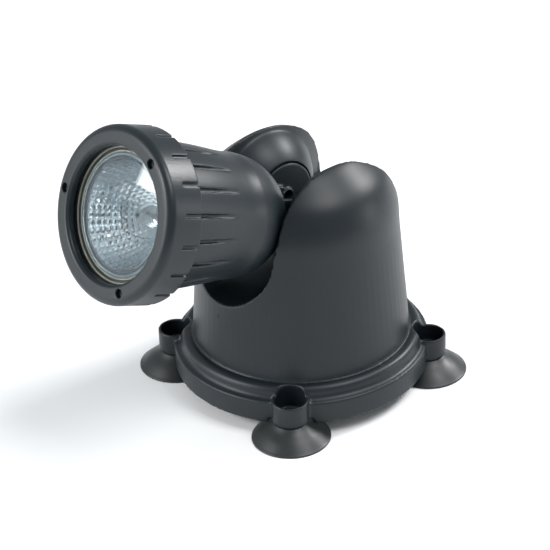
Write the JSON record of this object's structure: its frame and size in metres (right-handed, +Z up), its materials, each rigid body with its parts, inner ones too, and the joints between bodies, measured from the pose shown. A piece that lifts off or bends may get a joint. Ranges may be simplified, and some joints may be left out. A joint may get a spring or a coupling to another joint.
{
  "type": "underwater pond light",
  "caption": "Tilting underwater spotlight with a round lamp head held between two rounded cheeks of a hollow bell base that stands on suction cups.",
  "frame": {"origin": "on the ground, at the centre of the whole footprint (box of all parts)", "axes": "+Z up, the lamp head points along -Y and tilts about X, so +Y runs towards the back of the bell"},
  "size_m": [0.1106, 0.1618, 0.1436],
  "materials": {
    "bell_plastic": "satin moulded",
    "housing_plastic": "satin moulded",
    "ring_plastic": "satin moulded",
    "nut_plastic": "satin moulded",
    "cup_rubber": "satin",
    "seal_rubber": "matte",
    "seal_silicone": "satin",
    "seat_plastic": "matte",
    "window_glass": "polished",
    "lamp_glass": "polished",
    "facet_mirror": "faceted mirror",
    "tungsten": "drawn",
    "ceramic": "fired",
    "pin_steel": "plain",
    "contact_brass": "plain",
    "lead_insulation": "satin"
  },
  "bodies": {
    "base": {"base_bell": "bell_plastic", "suction_cup_1": "cup_rubber", "suction_cup_2": "cup_rubber", "suction_cup_3": "cup_rubber", "suction_cup_4": "cup_rubber"},
    "lamp": {"lamp_housing": "housing_plastic", "gland_nut": "nut_plastic", "gland_body": "nut_plastic", "gland_grommet": "seal_rubber", "neck_o_ring": "seal_rubber", "seat_ring": "seat_plastic", "reflector": "facet_mirror", "reflector_cover": "lamp_glass", "capsule": "lamp_glass", "filament": "tungsten", "filament_post_1": "tungsten", "filament_post_2": "tungsten", "lamp_cap": "ceramic", "lamp_holder": "ceramic", "cap_pin_1": "pin_steel", "cap_pin_2": "pin_steel", "holder_contact_1": "contact_brass", "holder_contact_2": "contact_brass", "holder_bracket": "pin_steel", "bracket_screw_1": "pin_steel", "bracket_screw_2": "pin_steel", "lead_wire_1": "lead_insulation", "lead_wire_2": "lead_insulation"},
    "window": {"front_glass": "window_glass", "glass_seal": "seal_silicone"},
    "screw_ring": {"bezel_ring": "ring_plastic"}
  },
  "joints": [
    {"name": "tilt", "type": "hinge", "parent": "base", "child": "lamp", "pos_m": [0, 0.02695, 0.0809], "axis": [-1, 0, 0], "range_deg": [-15, 69]},
    {"name": "window_slide", "type": "slide", "parent": "lamp", "child": "window", "axis": [0, -0.9337, 0.358], "range_m": [0, 0.00605]},
    {"name": "ring_turn", "type": "hinge", "parent": "window", "child": "screw_ring", "pos_m": [0, 0.02473, 0.07511], "axis": [0, -0.9337, 0.358], "range_deg": [0, 540]}
  ],
  "couplings": [
    {"joint": "window_slide", "follows": "ring_turn", "m_per_rad": 0.00063662}
  ]
}
